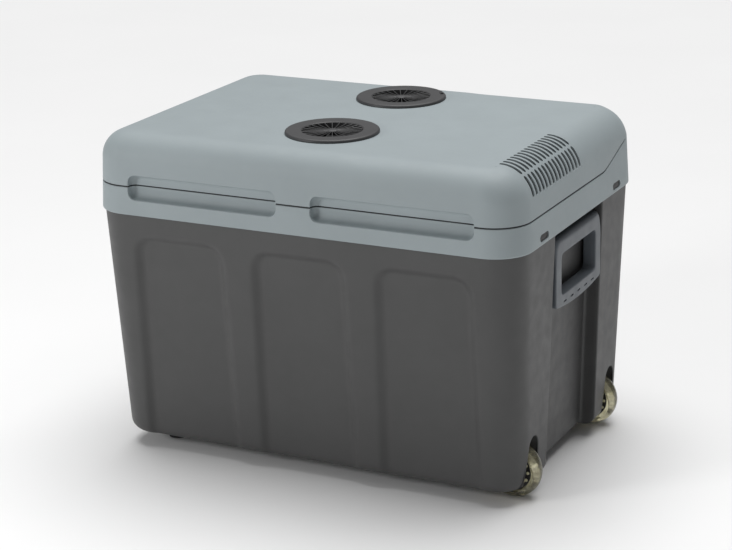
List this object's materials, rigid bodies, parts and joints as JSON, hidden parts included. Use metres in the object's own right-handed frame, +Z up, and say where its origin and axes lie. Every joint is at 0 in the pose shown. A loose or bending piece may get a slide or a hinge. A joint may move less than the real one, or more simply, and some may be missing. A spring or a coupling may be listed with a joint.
{
  "type": "thermoelectric cool box",
  "caption": "Wheeled thermoelectric cool box with a hinged lid that holds fan-cooled Peltier units, folding end handles and finger grips.",
  "frame": {"origin": "on the floor, under the middle of the box", "axes": "+Z up, +X towards the end with the wheels, -Y is the front, the lid is hinged along +Y"},
  "size_m": [0.585, 0.409, 0.429],
  "materials": {
    "cabinet_plastic": "anthracite fine grained moulding",
    "lid_plastic": "light blue grey satin moulding",
    "handle_plastic": "mid grey satin moulding",
    "charcoal_plastic": "charcoal satin moulding",
    "black_plastic": "black fan plastic",
    "liner_plastic": "pale grey food liner",
    "foam": "rigid foamed insulation",
    "gasket_rubber": "soft black seal",
    "foot_rubber": "black rubber",
    "tyre_clear": "yellowish clear cast polyurethane",
    "steel": "zinc plated steel",
    "bearing_steel": "polished bearing steel",
    "sink_aluminium": "extruded aluminium",
    "peltier_ceramic": "white ceramic plates",
    "board": "green circuit board with parts",
    "wire": "insulated wire",
    "lamp": "clear green lens"
  },
  "bodies": {
    "cabinet": {"outer_shell": "cabinet_plastic", "cabinet_foam": "foam", "inner_liner": "liner_plastic", "collar": "lid_plastic", "collar_clips": "charcoal_plastic", "hinge_pins": "steel", "wheel_axles": "steel", "feet": "foot_rubber", "foot_screws": "steel", "handle_pivots": "steel"},
    "lid": {"lid_shell": "lid_plastic", "lid_liner": "liner_plastic", "lid_gasket": "gasket_rubber", "lid_foam": "foam", "lid_screws": "steel", "power_supply": "board", "control_board": "board", "wiring_harness": "wire", "inlet_panel": "charcoal_plastic", "status_lights": "lamp", "mains_inlet": "charcoal_plastic", "battery_inlet": "charcoal_plastic", "switch_housing": "charcoal_plastic", "fan_grille_front": "charcoal_plastic", "hot_fan_frame_front": "black_plastic", "hot_sink_front": "sink_aluminium", "peltier_front": "peltier_ceramic", "spacer_block_front": "sink_aluminium", "cold_sink_front": "sink_aluminium", "cold_fan_frame_front": "black_plastic", "cold_fan_guard_front": "liner_plastic", "fan_grille_rear": "charcoal_plastic", "hot_fan_frame_rear": "black_plastic", "hot_sink_rear": "sink_aluminium", "peltier_rear": "peltier_ceramic", "spacer_block_rear": "sink_aluminium", "cold_sink_rear": "sink_aluminium", "cold_fan_frame_rear": "black_plastic", "cold_fan_guard_rear": "liner_plastic"},
    "handle_right": {"handle_right": "handle_plastic"},
    "handle_left": {"handle_left": "handle_plastic"},
    "switch_knob": {"switch_knob": "charcoal_plastic"},
    "hot_fan_front": {"hot_fan_rotor_front": "black_plastic"},
    "cold_fan_front": {"cold_fan_rotor_front": "black_plastic"},
    "wheel_front": {"wheel_tyre_front": "tyre_clear", "wheel_hub_front": "black_plastic", "wheel_bearings_front": "bearing_steel"},
    "hot_fan_rear": {"hot_fan_rotor_rear": "black_plastic"},
    "cold_fan_rear": {"cold_fan_rotor_rear": "black_plastic"},
    "wheel_rear": {"wheel_tyre_rear": "tyre_clear", "wheel_hub_rear": "black_plastic", "wheel_bearings_rear": "bearing_steel"}
  },
  "joints": [
    {"name": "lid_hinge", "type": "hinge", "parent": "cabinet", "child": "lid", "pos_m": [0, 0.1995, 0.394], "axis": [-1, 0, 0], "range_deg": [0, 95]},
    {"name": "handle_right_swing", "type": "hinge", "parent": "cabinet", "child": "handle_right", "pos_m": [0.28, 0, 0.304], "axis": [0, -1, 0], "range_deg": [0, 90]},
    {"name": "handle_left_swing", "type": "hinge", "parent": "cabinet", "child": "handle_left", "pos_m": [-0.28, 0, 0.304], "axis": [0, 1, 0], "range_deg": [0, 90]},
    {"name": "switch_slide", "type": "slide", "parent": "lid", "child": "switch_knob", "axis": [0, 1, 0], "range_m": [-0.004, 0.004]},
    {"name": "hot_fan_front_spin", "type": "hinge", "parent": "lid", "child": "hot_fan_front", "pos_m": [-0.0045, -0.086, 0.407], "axis": [0, 0, 1], "continuous": true},
    {"name": "cold_fan_front_spin", "type": "hinge", "parent": "lid", "child": "cold_fan_front", "pos_m": [-0.0045, -0.086, 0.344], "axis": [0, 0, 1], "continuous": true},
    {"name": "wheel_front_roll", "type": "hinge", "parent": "cabinet", "child": "wheel_front", "pos_m": [0.2565, -0.1305, 0.036], "axis": [0, 1, 0], "continuous": true},
    {"name": "hot_fan_rear_spin", "type": "hinge", "parent": "lid", "child": "hot_fan_rear", "pos_m": [-0.0045, 0.109, 0.407], "axis": [0, 0, 1], "continuous": true},
    {"name": "cold_fan_rear_spin", "type": "hinge", "parent": "lid", "child": "cold_fan_rear", "pos_m": [-0.0045, 0.098, 0.344], "axis": [0, 0, 1], "continuous": true},
    {"name": "wheel_rear_roll", "type": "hinge", "parent": "cabinet", "child": "wheel_rear", "pos_m": [0.2565, 0.1305, 0.036], "axis": [0, 1, 0], "continuous": true}
  ]
}
